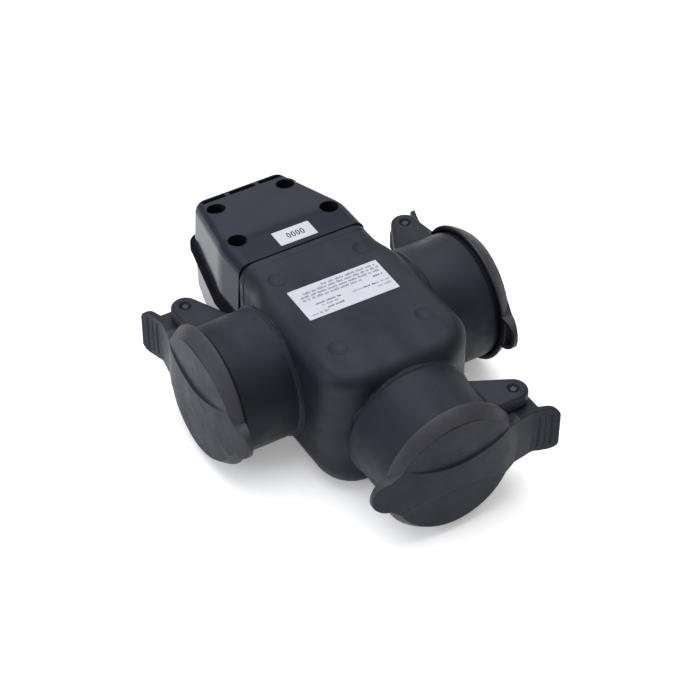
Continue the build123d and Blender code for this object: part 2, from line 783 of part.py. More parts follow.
with BuildPart() as base_space:
    with BuildSketch(Plane.XY.offset(box_wall)):
        with BuildLine():
            Polyline(*box_outline(box_wall - 0.1, mouth_y + box_wall), close=True)
        make_face()
    extrude(amount=parting_z)
    with BuildSketch(Plane.YZ):
        with BuildLine():
            Polyline(
                (box_bend_y, box_wall),
                (box_rear_y + 5, box_wall + base_slope_fall * (box_rear_y + 5 - box_bend_y)),
                (box_rear_y + 5, 0),
                (box_bend_y, 0),
                close=True,
            )
        make_face()
    extrude(amount=50, both=True, mode=Mode.SUBTRACT)

with BuildPart() as base_posts:
    with BuildSketch(Plane.XY.offset(parting_z)):
        for x, y in screw_rows:
            with Locations((x, y), (-x, y)):
                Circle(post_radius)
    extrude(amount=-parting_z)
    with BuildSketch(Plane.XY.offset(gland_z)):
        with Locations((clamp_post_x, clamp_y), (-clamp_post_x, clamp_y)):
            Circle(2.6)
    extrude(amount=-gland_z)
    with BuildSketch(Plane.YZ):
        with BuildLine():
            Polyline(
                (mouth_y, box_wall / 2),
                (box_bend_y, box_wall / 2),
                (box_rear_y + 5, box_wall / 2 + base_slope_fall * (box_rear_y + 5 - box_bend_y)),
                (box_rear_y + 5, -5),
                (mouth_y, -5),
                close=True,
            )
        make_face()
    extrude(amount=50, both=True, mode=Mode.SUBTRACT)

with BuildPart() as terminal_base:
    with BuildSketch(Plane.XY.offset(parting_z)) as foot:
        with BuildLine():
            Polyline(*box_outline(-foot_flare, mouth_y - box_wall), close=True)
        make_face()
        fillet(foot.vertices().group_by(Axis.Y)[-1], box_corner + foot_flare)
        fillet(foot.vertices().filter_by_position(Axis.Y, box_bend_y - 1, box_bend_y + 1), box_side_bend)
    extrude(amount=-parting_z, taper=base_draft)
    with BuildSketch(Plane.XY.offset(-1)):
        with Locations((0, mouth_y - 10)):
            Rectangle(100, 20)
    extrude(amount=body_height, mode=Mode.SUBTRACT)
    with BuildSketch(Plane.YZ):
        with BuildLine():
            keel = FilletPolyline(
                (mouth_y - 5, 0),
                (box_bend_y, 0),
                (box_rear_y + 5, base_slope_fall * (box_rear_y + 5 - box_bend_y)),
                radius=box_top_bend,
            )
            Polyline(keel @ 1, (box_rear_y + 5, -5), (mouth_y - 5, -5), keel @ 0)
        make_face()
    extrude(amount=50, both=True, mode=Mode.SUBTRACT)
    low = terminal_base.edges().filter_by_position(Axis.Z, -0.1, box_rear_bottom + 1)
    low = low.filter_by_position(Axis.Y, mouth_y + 0.5, box_rear_y + 1)
    fillet(low.filter_by(lambda e: abs(e.tangent_at(0.5).Z) < 0.5 and not top_seam(e)), box_edge)
    with BuildSketch(Plane.XY.offset(parting_z - flange_thickness)):
        with BuildLine():
            Polyline(*box_outline(-foot_flare - flange_overhang, mouth_y + 1.2), close=True)
        make_face()
    extrude(amount=flange_thickness)
    flange_corners = upright_edges(terminal_base, box_rear_y + foot_flare + 1, box_rear_y + 5)
    fillet(flange_corners, box_corner + flange_overhang)
    add(base_space.part, mode=Mode.SUBTRACT)
    add(base_posts.part)
    with BuildSketch(Plane.XZ.offset(-mouth_y - box_wall)):
        with Locations((0, (parting_z + spigot_bottom) / 2)):
            Rectangle(2 * spigot_half_width, parting_z - spigot_bottom)
    extrude(amount=spigot_length + box_wall)
    with BuildSketch(Plane.XZ.offset(-mouth_y - 2 * box_wall)):
        with Locations((0, (parting_z + spigot_bottom + box_wall) / 2)):
            Rectangle(2 * (spigot_half_width - box_wall), parting_z - spigot_bottom - box_wall)
    extrude(amount=spigot_length + 4 * box_wall, mode=Mode.SUBTRACT)
    with BuildSketch(Plane.XY.offset(parting_z)):
        for x, y in screw_rows:
            with Locations((x, y), (-x, y)):
                Circle(1.5)
    extrude(amount=-20, mode=Mode.SUBTRACT)
    with BuildSketch(Plane.XY.offset(gland_z)):
        with Locations((clamp_post_x, clamp_y), (-clamp_post_x, clamp_y)):
            Circle(1.2)
    extrude(amount=-12, mode=Mode.SUBTRACT)
    with BuildSketch(Plane.XZ.offset(-box_rear_y - 1)):
        with Locations((0, gland_z)):
            Circle(gland_thread_radius + 0.1)
    extrude(amount=8, mode=Mode.SUBTRACT)
    with BuildSketch(Plane.XZ.offset(-gland_seat_y)):
        with Locations((0, gland_z)):
            RectangleRounded(gland_flats / cos(radians(30)) + 0.6, gland_flats + 0.6, 1)
    extrude(amount=-5, mode=Mode.SUBTRACT)
    with BuildSketch(Plane.XY.offset(parting_z)):
        with BuildLine():
            Polyline(*box_outline(gasket_outer, mouth_y + box_wall), close=True)
        make_face()
        with BuildLine():
            Polyline(*box_outline(gasket_inner, mouth_y), close=True)
        make_face(mode=Mode.SUBTRACT)
    extrude(amount=-gasket_depth, mode=Mode.SUBTRACT)
    add(joint_line.part, mode=Mode.SUBTRACT)
write(terminal_base, "terminal_base")

with BuildPart() as box_gasket:
    with BuildSketch(Plane.XY.offset(parting_z)):
        with BuildLine():
            Polyline(*box_outline(gasket_outer, mouth_y + box_wall), close=True)
        make_face()
        with BuildLine():
            Polyline(*box_outline(gasket_inner, mouth_y), close=True)
        make_face(mode=Mode.SUBTRACT)
    extrude(amount=-gasket_depth)
write(box_gasket, "box_gasket")

with BuildPart() as cover_screws:
    for x, y in screw_rows:
        with Locations((x, y, screw_recess_floor), (-x, y, screw_recess_floor)):
            Cylinder(3.3, 2.4, align=(Align.CENTER, Align.CENTER, Align.MIN))
            Cylinder(1.5, 20, align=(Align.CENTER, Align.CENTER, Align.MAX))
            with Locations((0, 0, 1.2)):
                Box(4.6, 0.9, 1.2, align=(Align.CENTER, Align.CENTER, Align.MIN), mode=Mode.SUBTRACT)
                Box(0.9, 4.6, 1.2, align=(Align.CENTER, Align.CENTER, Align.MIN), mode=Mode.SUBTRACT)
write(cover_screws, "cover_screws")

# ---- cable gland in the rear wall -----------------------------------------------------------
gland_axis = Plane(origin=(0, gland_seat_y, gland_z), x_dir=(1, 0, 0), z_dir=(0, 1, 0))
hex_corner_radius = gland_flats / 2 / cos(radians(30))

with BuildPart() as gland_body:
    with BuildSketch(gland_axis.offset(-8)):
        Circle(gland_thread_radius)
    extrude(amount=8)
    with BuildSketch(gland_axis):
        RegularPolygon(hex_corner_radius, 6)
    extrude(amount=3)
    with BuildSketch(gland_axis.offset(3)):
        Circle(7.2)
    extrude(amount=5)
    with BuildSketch(gland_axis.offset(-8)):
        Circle(cable_radius + 1)
    extrude(amount=16, mode=Mode.SUBTRACT)
    with BuildSketch(gland_axis.offset(2)):
        Circle(6.2)
    extrude(amount=8, mode=Mode.SUBTRACT)
write(gland_body, "gland_body")

with BuildPart() as gland_locknut:
    with BuildSketch(gland_axis.offset(-box_wall - 1.3)):
        RegularPolygon(hex_corner_radius, 6)
        Circle(gland_thread_radius + 0.03, mode=Mode.SUBTRACT)
    extrude(amount=-3.5)
write(gland_locknut, "gland_locknut")

with BuildPart() as gland_seal:
    with BuildSketch(gland_axis.offset(2)):
        Circle(6.1)
        Circle(cable_radius + 0.1, mode=Mode.SUBTRACT)
    extrude(amount=7)
write(gland_seal, "gland_seal")

with BuildPart() as gland_nut:
    with BuildSketch(gland_axis.offset(3.4)):
        RegularPolygon(hex_corner_radius, 6)
    extrude(amount=5.6)
    with BuildSketch(gland_axis.offset(9)):
        Circle(8.8)
    extrude(amount=2.4)
    fillet(gland_nut.faces().sort_by(Axis.Y)[-1].edges(), 2)
    with BuildSketch(gland_axis.offset(3.4)):
        Circle(7.25)
    extrude(amount=5.7, mode=Mode.SUBTRACT)
    with BuildSketch(gland_axis.offset(3.4)):
        Circle(cable_radius + 0.7)
    extrude(amount=12, mode=Mode.SUBTRACT)
write(gland_nut, "gland_nut")

# ---- cable clamp and terminal block ---------------------------------------------------------
with BuildPart() as cable_clamp:
    with BuildSketch(Plane.XZ.offset(-clamp_y + 3)):
        with Locations((0, gland_z + 4.1)):
            Rectangle(23.6, 8)
        with Locations((0, gland_z)):
            Circle(cable_radius + 0.1, mode=Mode.SUBTRACT)
    extrude(amount=-6)
    with BuildSketch(Plane.XY.offset(gland_z)):
        with Locations((clamp_post_x, clamp_y), (-clamp_post_x, clamp_y)):
            Circle(1.5)
    extrude(amount=10, mode=Mode.SUBTRACT)
write(cable_clamp, "cable_clamp")

with BuildPart() as clamp_screws:
    with Locations(
        (clamp_post_x, clamp_y, gland_z + 8.1),
        (-clamp_post_x, clamp_y, gland_z + 8.1),
    ):
        Cylinder(2.6, 1.8, align=(Align.CENTER, Align.CENTER, Align.MIN))
        Cylinder(1.2, 18, align=(Align.CENTER, Align.CENTER, Align.MAX))
        with Locations((0, 0, 0.9)):
            Box(5.4, 0.7, 1.0, align=(Align.CENTER, Align.CENTER, Align.MIN), mode=Mode.SUBTRACT)
write(clamp_screws, "clamp_screws")

terminal_rear_y = 64.0
tunnel_half = 3.2
block_bottom = box_wall + base_slope_fall * (terminal_rear_y - box_bend_y) + 0.1
poles = [(jog, level) for level, jog, reach_x, reach_y in busbars.values()]

with BuildPart() as terminal_block:
    for x, level in poles:
        with BuildSketch(Plane.XY.offset(block_bottom)):
            with Locations((x, (terminal_front_y + terminal_rear_y) / 2)):
                Rectangle(pole_pitch, terminal_rear_y - terminal_front_y)
        extrude(amount=level + 4.6 - block_bottom)
        with BuildSketch(Plane.XZ.offset(-terminal_front_y + 1)):
            with Locations((x, level)):
                Rectangle(2 * tunnel_half, 2 * tunnel_half)
        extrude(amount=-(terminal_rear_y - terminal_front_y) - 2, mode=Mode.SUBTRACT)
        with BuildSketch(Plane.XY.offset(level)):
            with Locations((x, terminal_front_y + 5), (x, terminal_front_y + 10)):
                Circle(1.7)
        extrude(amount=10, mode=Mode.SUBTRACT)
write(terminal_block, "terminal_block")

with BuildPart() as terminal_clamps:
    for x, level in poles:
        with BuildSketch(Plane.XZ.offset(-terminal_front_y - 2)):
            with Locations((x, level)):
                Rectangle(2 * tunnel_half - 0.2, 2 * tunnel_half - 0.2)
                Circle(1.9, mode=Mode.SUBTRACT)
        extrude(amount=-(terminal_rear_y - terminal_front_y) + 3)
        with BuildSketch(Plane.XY.offset(level)):
            with Locations((x, terminal_front_y + 5), (x, terminal_front_y + 10)):
                Circle(1.3)
        extrude(amount=10, mode=Mode.SUBTRACT)
write(terminal_clamps, "terminal_clamps")

with BuildPart() as terminal_screws:
    for x, level in poles:
        with Locations(
            (x, terminal_front_y + 5, level + 1.0),
            (x, terminal_front_y + 10, level + 1.0),
        ):
            Cylinder(1.3, 4.6, align=(Align.CENTER, Align.CENTER, Align.MIN))
            with Locations((0, 0, 3.8)):
                Box(3, 0.5, 1.0, align=(Align.CENTER, Align.CENTER, Align.MIN), mode=Mode.SUBTRACT)
write(terminal_screws, "terminal_screws")

# ---- stick-on labels ------------------------------------------------------------------------
label_thickness = 0.15
labels = {
    "rating_label": ((-0.6, -3.3), (41.4, 19.2), 0.3),
    "number_label": ((0.5, 37.6), (17.4, 9.0), 0.3),
}
for label, (centre, size, corner) in labels.items():
    with BuildPart() as sticker:
        with BuildSketch(Plane.XY.offset(body_height)):
            with Locations(centre):
                RectangleRounded(size[0], size[1], corner, rotation=-0.6)
        extrude(amount=label_thickness)
    write(sticker, label)
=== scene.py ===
import json
import math
import random

import bmesh
import bpy
from mathutils import Matrix, Vector
from mathutils.bvhtree import BVHTree

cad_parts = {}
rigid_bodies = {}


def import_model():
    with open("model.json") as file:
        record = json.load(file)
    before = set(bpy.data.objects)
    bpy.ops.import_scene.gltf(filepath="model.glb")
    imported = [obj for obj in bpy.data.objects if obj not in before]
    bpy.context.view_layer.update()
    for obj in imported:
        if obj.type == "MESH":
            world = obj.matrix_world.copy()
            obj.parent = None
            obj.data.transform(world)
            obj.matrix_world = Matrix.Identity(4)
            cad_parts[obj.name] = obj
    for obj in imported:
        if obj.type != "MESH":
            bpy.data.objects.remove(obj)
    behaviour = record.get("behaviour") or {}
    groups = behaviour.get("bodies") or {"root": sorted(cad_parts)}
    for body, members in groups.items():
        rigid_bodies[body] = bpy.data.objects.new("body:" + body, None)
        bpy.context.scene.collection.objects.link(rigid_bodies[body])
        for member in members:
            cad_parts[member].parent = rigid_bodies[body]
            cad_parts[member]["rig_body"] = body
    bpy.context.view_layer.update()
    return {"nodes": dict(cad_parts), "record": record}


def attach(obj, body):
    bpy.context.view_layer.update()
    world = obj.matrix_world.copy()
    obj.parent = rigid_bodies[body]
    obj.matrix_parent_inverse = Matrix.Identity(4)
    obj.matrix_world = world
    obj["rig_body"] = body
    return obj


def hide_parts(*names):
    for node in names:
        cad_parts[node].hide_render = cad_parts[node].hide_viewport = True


# Portable three-way rubber socket block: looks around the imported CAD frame. Metres throughout.

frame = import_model()
nodes = frame["nodes"]
MM = 0.001

# ---- camera ---------------------------------------------------------------------------------
CAM_AZIMUTH = math.radians(-31.51)
CAM_ELEVATION = math.radians(42.3)
CAM_ROLL = math.radians(0.53)
CAM_DISTANCE = 0.92375
CAM_TARGET = Vector((0.00157, -0.00527, 0.030))
CAM_LENS = 115.74

back = Vector((
    math.sin(CAM_AZIMUTH) * math.cos(CAM_ELEVATION),
    -math.cos(CAM_AZIMUTH) * math.cos(CAM_ELEVATION),
    math.sin(CAM_ELEVATION),
))
side = Vector((math.cos(CAM_AZIMUTH), math.sin(CAM_AZIMUTH), 0.0))
up = back.cross(side)
right = math.cos(CAM_ROLL) * side + math.sin(CAM_ROLL) * up
top = back.cross(right)
camera_data = bpy.data.cameras.new("camera")
camera_data.lens = CAM_LENS
camera_data.sensor_width = 36.0
camera_data.clip_start = 0.05
camera_data.clip_end = 20.0
camera = bpy.data.objects.new("camera", camera_data)
bpy.context.scene.collection.objects.link(camera)
camera.matrix_world = Matrix.Translation(CAM_TARGET + back * CAM_DISTANCE) @ Matrix(
    (right, top, back)
).transposed().to_4x4()
bpy.context.scene.camera = camera


# ---- node helpers ---------------------------------------------------------------------------
class Nodes:
    """A short way to add and join shader nodes in one material."""

    def __init__(self, name):
        self.material = bpy.data.materials.new(name)
        self.material.use_nodes = True
        self.tree = self.material.node_tree
        self.tree.nodes.clear()
        self.out = self.add("ShaderNodeOutputMaterial")
        self.shader = self.add("ShaderNodeBsdfPrincipled")
        self.join(self.shader, "BSDF", self.out, "Surface")
        self.place = self.add("ShaderNodeTexCoord")

    def add(self, kind, **values):
        node = self.tree.nodes.new(kind)
        for key, value in values.items():
            if key in node.inputs.keys():
                node.inputs[key].default_value = value
            else:
                setattr(node, key, value)
        return node

    def join(self, a, out, b, inp):
        self.tree.links.new(a.outputs[out], b.inputs[inp])

    def noise(self, scale, detail=2.0, roughness=0.5, stretch=None):
        node = self.add("ShaderNodeTexNoise", Scale=scale, Detail=detail, Roughness=roughness)
        if stretch:
            mapping = self.add("ShaderNodeMapping", Scale=stretch)
            self.join(self.place, "Object", mapping, "Vector")
            self.join(mapping, "Vector", node, "Vector")
        else:
            self.join(self.place, "Object", node, "Vector")
        return node

    def ramp(self, source, output, stops):
        node = self.add("ShaderNodeValToRGB")
        elements = node.color_ramp.elements
        while len(elements) < len(stops):
            elements.new(0.5)
        for element, (position, colour) in zip(elements, stops):
            element.position = position
            element.color = (*colour, 1.0) if len(colour) == 3 else colour
        self.join(source, output, node, "Fac")
        return node

    def grey(self, source, output, low, high, start=0.3, end=0.7):
        node = self.add("ShaderNodeMapRange")
        limits = {"From Min": start, "From Max": end, "To Min": low, "To Max": high}
        for key, value in limits.items():
            node.inputs[key].default_value = value
        self.join(source, output, node, "Value")
        return node

    def bump(self, source, output, distance, strength=1.0, under=None):
        node = self.add("ShaderNodeBump", Strength=strength, Distance=distance)
        self.join(source, output, node, "Height")
        if under:
            self.join(under, "Normal", node, "Normal")
        return node


PATCH_STOPS = (0.32, 0.68)
GLOSS_FINENESS = 2.3
SWIRL_FINENESS = 6.0
SWIRL_DEPTH = 2.0
SWIRL_STRENGTH = 0.5
COOL_SHEEN = (0.8, 0.85, 1.0, 1.0)


def moulded(
    name,
    dark,
    light,
    rough,
    grain_scale,
    grain_depth,
    patch_scale=28.0,
    specular=0.5,
    wiped=None,
):
    """A moulded rubber or plastic: patchy colour, uneven gloss and a fine grain."""
    n = Nodes(name)
    patches = n.noise(patch_scale, 5.0, 0.6)
    colour = n.ramp(patches, "Fac", list(zip(PATCH_STOPS, (dark, light))))
    n.join(colour, "Color", n.shader, "Base Color")
    n.shader.inputs["Specular Tint"].default_value = COOL_SHEEN
    gloss = n.noise(patch_scale * GLOSS_FINENESS, 4.0, 0.6, wiped)
    n.join(n.grey(gloss, "Fac", *rough), "Result", n.shader, "Roughness")
    grain = n.noise(grain_scale, 3.0, 0.6)
    swirl = n.noise(patch_scale * SWIRL_FINENESS, 2.0, 0.5)
    low = n.bump(swirl, "Fac", grain_depth * SWIRL_DEPTH, SWIRL_STRENGTH)
    n.join(n.bump(grain, "Fac", grain_depth, 1.0, low), "Normal", n.shader, "Normal")
    n.shader.inputs["Specular IOR Level"].default_value = specular
    return n.material


DRAWN_LINE_SCALE = 900.0
DRAWN_LINE_DEPTH = 0.00001
DRAWN_LINE_STRENGTH = 0.6
DRAWN_LINE_STOPS = (0.3, 0.7)


def metal(name, dark, light, rough, stretch):
    """A plated or brass surface with fine drawn lines."""
    n = Nodes(name)
    lines = n.noise(DRAWN_LINE_SCALE, 3.0, 0.6, stretch)
    colour = n.ramp(lines, "Fac", list(zip(DRAWN_LINE_STOPS, (dark, light))))
    n.join(colour, "Color", n.shader, "Base Color")
    n.join(n.grey(lines, "Fac", *rough), "Result", n.shader, "Roughness")
    drawn = n.bump(lines, "Fac", DRAWN_LINE_DEPTH, DRAWN_LINE_STRENGTH)
    n.join(drawn, "Normal", n.shader, "Normal")
    n.shader.inputs["Metallic"].default_value = 1.0
    return n.material


RUBBER = moulded(
    "rubber",
    dark=(0.0068, 0.0074, 0.0115),
    light=(0.0112, 0.0119, 0.0176),
    rough=(0.4, 0.68),
    grain_scale=1800.0,
    grain_depth=0.00003,
    patch_scale=34.0,
    specular=0.24,
    wiped=(1.0, 0.3, 1.0),
)
LID = moulded(
    "lid_plastic",
    dark=(0.0098, 0.0105, 0.0168),
    light=(0.014, 0.0147, 0.0222),
    rough=(0.42, 0.56),
    grain_scale=1300.0,
    grain_depth=0.00006,
    patch_scale=60.0,
    specular=0.19,
)
# lighter base colour on the lids' side band: painted sheen for the light its coarse grain
# catches; the coarser grain and gloss are real texture
SKIRT_SHEEN = moulded(
    "lid_skirt_painted_sheen",
    dark=(0.0165, 0.0155, 0.018),
    light=(0.0265, 0.025, 0.0285),
    rough=(0.46, 0.6),
    grain_scale=1100.0,
    grain_depth=0.0001,
    patch_scale=80.0,
    specular=0.42,
)
GLOSSY = moulded(
    "box_plastic",
    dark=(0.0155, 0.0172, 0.0258),
    light=(0.0185, 0.0205, 0.0302),
    rough=(0.12, 0.17),
    grain_scale=700.0,
    grain_depth=0.000002,
    patch_scale=40.0,
    specular=0.075,
)
# dark matt plastic for the box's lip, also put on the screw recess walls as painted shade
LIP_AND_PAINTED_SHADE = moulded(
    "box_lip_and_painted_shade",
    dark=(0.0085, 0.0082, 0.01),
    light=(0.0125, 0.012, 0.0145),
    rough=(0.6, 0.8),
    grain_scale=1500.0,
    grain_depth=0.00002,
    patch_scale=60.0,
    specular=0.0,
)
INSERT = moulded(
    "insert_plastic",
    dark=(0.022, 0.022, 0.024),
    light=(0.03, 0.03, 0.032),
    rough=(0.38, 0.5),
    grain_scale=1500.0,
    grain_depth=0.00001,
    patch_scale=50.0,
)
GLAND = moulded(
    "gland_plastic",
    dark=(0.012, 0.012, 0.014),
    light=(0.017, 0.017, 0.02),
    rough=(0.35, 0.45),
    grain_scale=1500.0,
    grain_depth=0.00001,
    patch_scale=50.0,
)
BLACKENED = moulded(
    "black_steel",
    dark=(0.010, 0.010, 0.013),
    light=(0.016, 0.016, 0.02),
    rough=(0.3, 0.45),
    grain_scale=1800.0,
    grain_depth=0.00001,
    patch_scale=90.0,
    specular=0.4,
)
BLOCK = moulded(
    "block_plastic",
    dark=(0.62, 0.61, 0.57),
    light=(0.72, 0.71, 0.66),
    rough=(0.35, 0.5),
    grain_scale=900.0,
    grain_depth=0.00001,
    patch_scale=50.0,
)
SEAL = moulded(
    "seal_rubber",
    dark=(0.009, 0.009, 0.011),
    light=(0.013, 0.013, 0.015),
    rough=(0.6, 0.75),
    grain_scale=2600.0,
    grain_depth=0.00002,
    patch_scale=28.0,
    specular=0.2,
)
STEEL = metal(
    "zinc_steel",
    dark=(0.40, 0.41, 0.42),
    light=(0.56, 0.57, 0.58),
    rough=(0.28, 0.42),
    stretch=(1.0, 1.0, 0.12),
)
BRASS = metal(
    "brass",
    dark=(0.55, 0.38, 0.14),
    light=(0.72, 0.52, 0.22),
    rough=(0.2, 0.34),
    stretch=(1.0, 1.0, 0.2),
)
PAPER = moulded(
    "label_film",
    dark=(0.445, 0.44, 0.495),
    light=(0.48, 0.475, 0.535),
    rough=(0.45, 0.55),
    grain_scale=900.0,
    grain_depth=0.000004,
    patch_scale=90.0,
    specular=0.2,
)
INK = moulded(
    "label_ink",
    dark=(0.075, 0.07, 0.11),
    light=(0.11, 0.105, 0.15),
    rough=(0.5, 0.6),
    grain_scale=900.0,
    grain_depth=0.000002,
    patch_scale=200.0,
    specular=0.2,
)
DARK_INK = moulded(
    "label_dark_ink",
    dark=(0.015, 0.015, 0.02),
    light=(0.03, 0.03, 0.04),
    rough=(0.5, 0.6),
    grain_scale=900.0,
    grain_depth=0.000002,
    patch_scale=200.0,
    specular=0.2,
)

by_slot = {
    "black_rubber": RUBBER,
    "lid_plastic": LID,
    "box_plastic": GLOSSY,
    "insert_plastic": INSERT,
    "gland_plastic": GLAND,
    "block_plastic": BLOCK,
    "soft_rubber": SEAL,
    "steel": STEEL,
    "black_steel": BLACKENED,
    "brass": BRASS,
    "label": PAPER,
}
slot_of = {s["node"]: s["material_slot"] for s in frame["record"]["subparts"]}
for name, node in nodes.items():
    node.data.materials.clear()
    node.data.materials.append(by_slot[slot_of[name]])


# ---- softened mouldings ---------------------------------------------------------------------
SMOOTH_FACTOR = 0.5


def soften(name, voxel, passes, most_faces, material):
    """A copy of a CAD node with the small rounded edges that a moulding has."""
    source = nodes[name]
    mesh = source.data.copy()
    piece = bpy.data.objects.new(name + "_moulding", mesh)
    bpy.context.scene.collection.objects.link(piece)
    remesh = piece.modifiers.new("remesh", "REMESH")
    remesh.mode = "VOXEL"
    remesh.voxel_size = voxel
    smooth = piece.modifiers.new("smooth", "SMOOTH")
    smooth.factor = SMOOTH_FACTOR
    smooth.iterations = passes
    graph = bpy.context.evaluated_depsgraph_get()
    count = len(piece.evaluated_get(graph).data.polygons) * 2
    if count > most_faces:
        thin = piece.modifiers.new("thin", "DECIMATE")
        thin.ratio = most_faces / count
        graph = bpy.context.evaluated_depsgraph_get()
    made = bpy.data.meshes.new_from_object(piece.evaluated_get(graph))
    piece.modifiers.clear()
    piece.data = made
    made.materials.clear()
    made.materials.append(material)
    for polygon in made.polygons:
        polygon.use_smooth = True
    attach(piece, source["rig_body"])
    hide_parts(name)
    return piece


AXIS_Z = 31.0 * MM
BODY_VOXEL = 0.36 * MM
BODY_PASSES = 3
BODY_FACES = 190000
LID_VOXEL = 0.22 * MM
LID_PASSES = 5
LID_FACES = 150000
soften("rubber_body", BODY_VOXEL, BODY_PASSES, BODY_FACES, RUBBER)

# faces of the lids' side band, which get the lighter painted-sheen material
SKIRT_RADIUS = 26.3 * MM
SKIRT_END = 31.0 * MM
SKIRT_MOST_AXIAL = 0.88  # a face that points further along the socket's axis is the lid's front
for place, across in (("left", 1), ("right", 1), ("front", 0)):
    lid = soften(f"{place}_lid", LID_VOXEL, LID_PASSES, LID_FACES, LID)
    lid.data.materials.append(SKIRT_SHEEN)
    for polygon in lid.data.polygons:
        reach = polygon.center[across]
        radius = math.hypot(reach, polygon.center[2] - AXIS_Z)
        axial = abs(polygon.normal[1 - across])
        if radius > SKIRT_RADIUS and reach < SKIRT_END and axial < SKIRT_MOST_AXIAL:
            polygon.material_index = 1

# ---- terminal box: the lip is dark and matt, the screw recesses are darkened as painted shade, the rest is polished ---
LIP_BOTTOM = 30.9 * MM
LIP_TOP = 34.05 * MM
RECESS_RADIUS = 4.155 * MM
SCREWS = [(x * MM, y * MM) for x, y in ((21.9, 45.9), (-21.9, 45.9), (16.8, 73.8), (-16.8, 73.8))]
graph = bpy.context.evaluated_depsgraph_get()
cover_tree = BVHTree.FromObject(nodes["terminal_cover"], graph)


def in_lip(x, y, z):
    return LIP_BOTTOM < z < LIP_TOP


# the recess walls get the dark matt material as painted shade; the real recess is the same
# polished plastic as the cover
def in_shaded_recess(x, y, z):
    return any(math.hypot(x - sx, y - sy) < RECESS_RADIUS for sx, sy in SCREWS)


for name, is_darkened in (("terminal_base", in_lip), ("terminal_cover", in_shaded_recess)):
    shell = bpy.data.objects.new(name + "_moulding", nodes[name].data.copy())
    bpy.context.scene.collection.objects.link(shell)
    shell.data.materials.append(LIP_AND_PAINTED_SHADE)
    for polygon in shell.data.polygons:
        if is_darkened(*polygon.center):
            polygon.material_index = 1
    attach(shell, nodes[name]["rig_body"])
    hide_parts(name)

# ---- rounded rims round the four screw recesses ---------------------------------------------
RIM_RADIUS = 4.2 * MM
RIM_BEAD = 0.24 * MM
RIM_SINK = RIM_BEAD * 0.5
RIM_STEPS = 64
RIM_ROUNDNESS = 4
ABOVE = 80.0 * MM
for number, (x, y) in enumerate(SCREWS, 1):
    curve = bpy.data.curves.new(f"recess_rim_{number}", "CURVE")
    curve.dimensions = "3D"
    curve.bevel_depth = RIM_BEAD
    curve.bevel_resolution = RIM_ROUNDNESS
    spline = curve.splines.new("POLY")
    spline.points.add(RIM_STEPS - 1)
    spline.use_cyclic_u = True
    for k, point in enumerate(spline.points):
        angle = math.tau * k / RIM_STEPS
        px = x + RIM_RADIUS * math.cos(angle)
        py = y + RIM_RADIUS * math.sin(angle)
        hit = cover_tree.ray_cast(Vector((px, py, ABOVE)), Vector((0, 0, -1)))[0]
        point.co = (px, py, hit.z - RIM_SINK, 1.0)
    rim_curve = bpy.data.objects.new("rim_curve", curve)
    made = bpy.data.meshes.new_from_object(rim_curve)
    bpy.data.objects.remove(rim_curve)
    made.materials.clear()
    made.materials.append(GLOSSY)
    for polygon in made.polygons:
        polygon.use_smooth = True
    rim = bpy.data.objects.new(f"recess_rim_{number}", made)
    bpy.context.scene.collection.objects.link(rim)
    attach(rim, nodes["terminal_cover"]["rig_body"])

# ---- print on the two labels ----------------------------------------------------------------
LABEL_TOP = 62.15 * MM
PRINT_THICKNESS = 0.02 * MM
LABEL_TURN = math.radians(-0.6)


def print_piece(name, centre, material, outlines):
    """One thin printed layer on a label, from closed outlines with optional holes, in mm."""
    mesh = bpy.data.meshes.new(name)
    bm = bmesh.new()
    turn = Matrix.Rotation(LABEL_TURN, 4, "Z")
    for outer, inner in outlines:
        rings = []
        for loop in (outer, inner) if inner else (outer,):
            for z in (-PRINT_THICKNESS, PRINT_THICKNESS):
                corners = [turn @ Vector((x * MM, y * MM, z)) for x, y in loop]
                rings.append([bm.verts.new(corner) for corner in corners])
        count = len(outer)
        for k in range(count):
            m = (k + 1) % count
            bm.faces.new((rings[0][k], rings[0][m], rings[1][m], rings[1][k]))
            if inner:
                bm.faces.new((rings[3][k], rings[3][m], rings[2][m], rings[2][k]))
                bm.faces.new((rings[1][k], rings[1][m], rings[3][m], rings[3][k]))
                bm.faces.new((rings[2][k], rings[2][m], rings[0][m], rings[0][k]))
        if not inner:
            bm.faces.new(rings[1])
            bm.faces.new(list(reversed(rings[0])))
    bm.to_mesh(mesh)
    bm.free()
    mesh.materials.append(material)
    piece = bpy.data.objects.new(name, mesh)
    bpy.context.scene.collection.objects.link(piece)
    piece.location = (centre[0] * MM, centre[1] * MM, LABEL_TOP)
    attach(piece, nodes["rubber_body"]["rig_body"])


WORD_LENGTHS = (2, 9)
STROKE_HEIGHTS = (0.7, 0.7, 1.0)
STROKE_GAPS = (0.16, 0.3)
WORD_GAP = 0.7


def strokes(rows, seed):
    """Rows of upright strokes in groups, like lines of small print that can't be read."""
    chance = random.Random(seed)
    made = []
    for start, end, y, height, width in rows:
        x = start
        while x < end:
            for _ in range(chance.randint(*WORD_LENGTHS)):
                if x > end:
                    break
                tall = height * chance.choice(STROKE_HEIGHTS)
                far = x + width
                made.append(([(x, y), (far, y), (far, y + tall), (x, y + tall)], None))
                x += width + chance.uniform(*STROKE_GAPS)
            x += WORD_GAP
    return made


